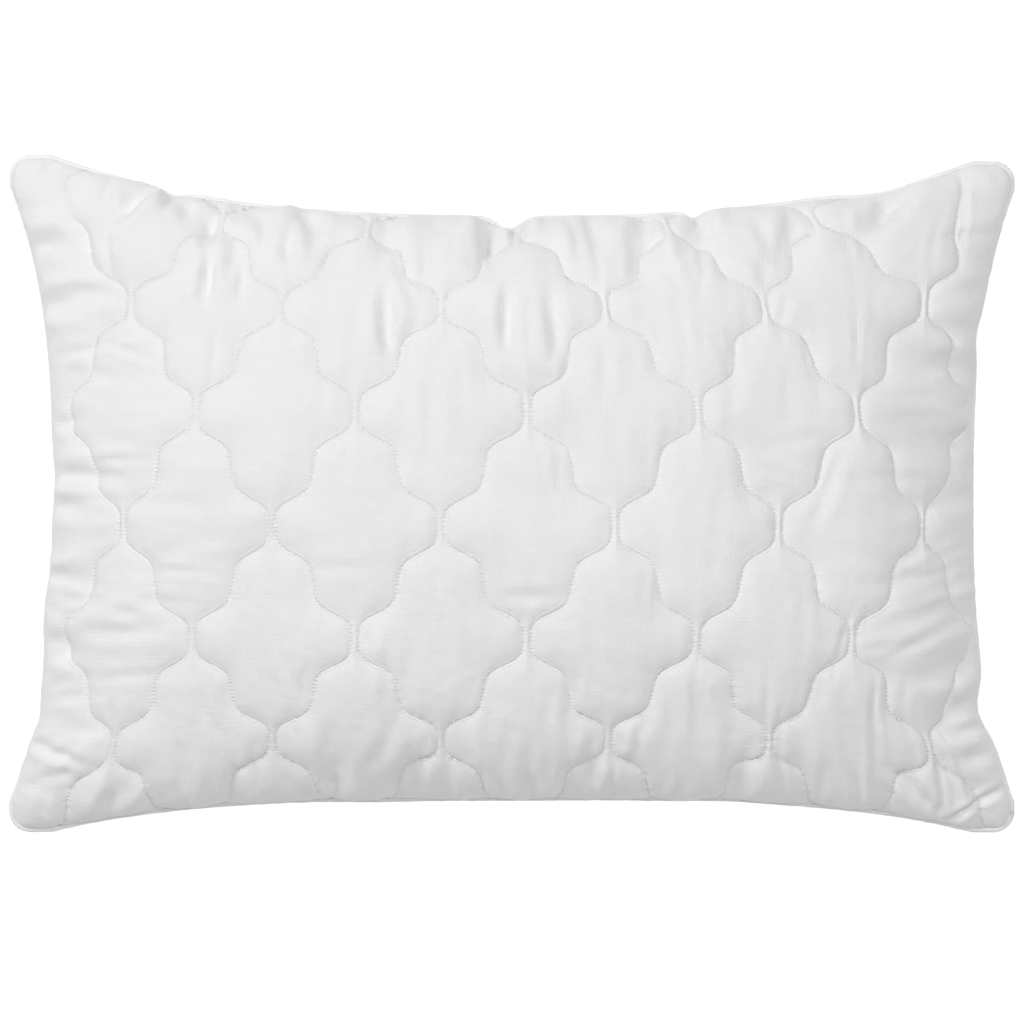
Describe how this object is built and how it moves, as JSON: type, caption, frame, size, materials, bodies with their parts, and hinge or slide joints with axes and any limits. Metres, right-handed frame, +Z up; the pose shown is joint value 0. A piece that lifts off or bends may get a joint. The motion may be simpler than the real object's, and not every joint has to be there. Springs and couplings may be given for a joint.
{
  "type": "bed pillow",
  "caption": "Rectangular bed pillow with quilted front and back panels in a four-lobed ogee pattern, a fibre core and a piped seam all round.",
  "frame": {"origin": "under the middle of the pillow, on the surface that it lies on", "axes": "+X along the long side, +Y along the short side, +Z up through the thickness, from the back panel to the front panel"},
  "size_m": [0.7349, 0.4951, 0.168],
  "materials": {
    "cover_cotton": "matte",
    "quilting_thread": "satin",
    "polyester_wadding": "matte",
    "lining_cloth": "matte",
    "hollow_fibre": "matte",
    "filler_cord": "matte"
  },
  "bodies": {
    "root": {"front_cover": "cover_cotton", "front_wadding": "polyester_wadding", "front_lining": "lining_cloth", "back_cover": "cover_cotton", "back_wadding": "polyester_wadding", "back_lining": "lining_cloth", "front_quilt_thread_01": "quilting_thread", "front_quilt_thread_02": "quilting_thread", "front_quilt_thread_03": "quilting_thread", "front_quilt_thread_04": "quilting_thread", "front_quilt_thread_05": "quilting_thread", "front_quilt_thread_06": "quilting_thread", "front_quilt_thread_07": "quilting_thread", "front_quilt_thread_08": "quilting_thread", "front_quilt_thread_09": "quilting_thread", "front_quilt_thread_10": "quilting_thread", "front_quilt_thread_11": "quilting_thread", "front_quilt_thread_12": "quilting_thread", "back_quilt_thread_01": "quilting_thread", "back_quilt_thread_02": "quilting_thread", "back_quilt_thread_03": "quilting_thread", "back_quilt_thread_04": "quilting_thread", "back_quilt_thread_05": "quilting_thread", "back_quilt_thread_06": "quilting_thread", "back_quilt_thread_07": "quilting_thread", "back_quilt_thread_08": "quilting_thread", "back_quilt_thread_09": "quilting_thread", "back_quilt_thread_10": "quilting_thread", "back_quilt_thread_11": "quilting_thread", "back_quilt_thread_12": "quilting_thread", "fibre_fill": "hollow_fibre", "piping_cover": "cover_cotton", "piping_cord": "filler_cord", "seam_thread": "quilting_thread"}
  },
  "joints": []
}
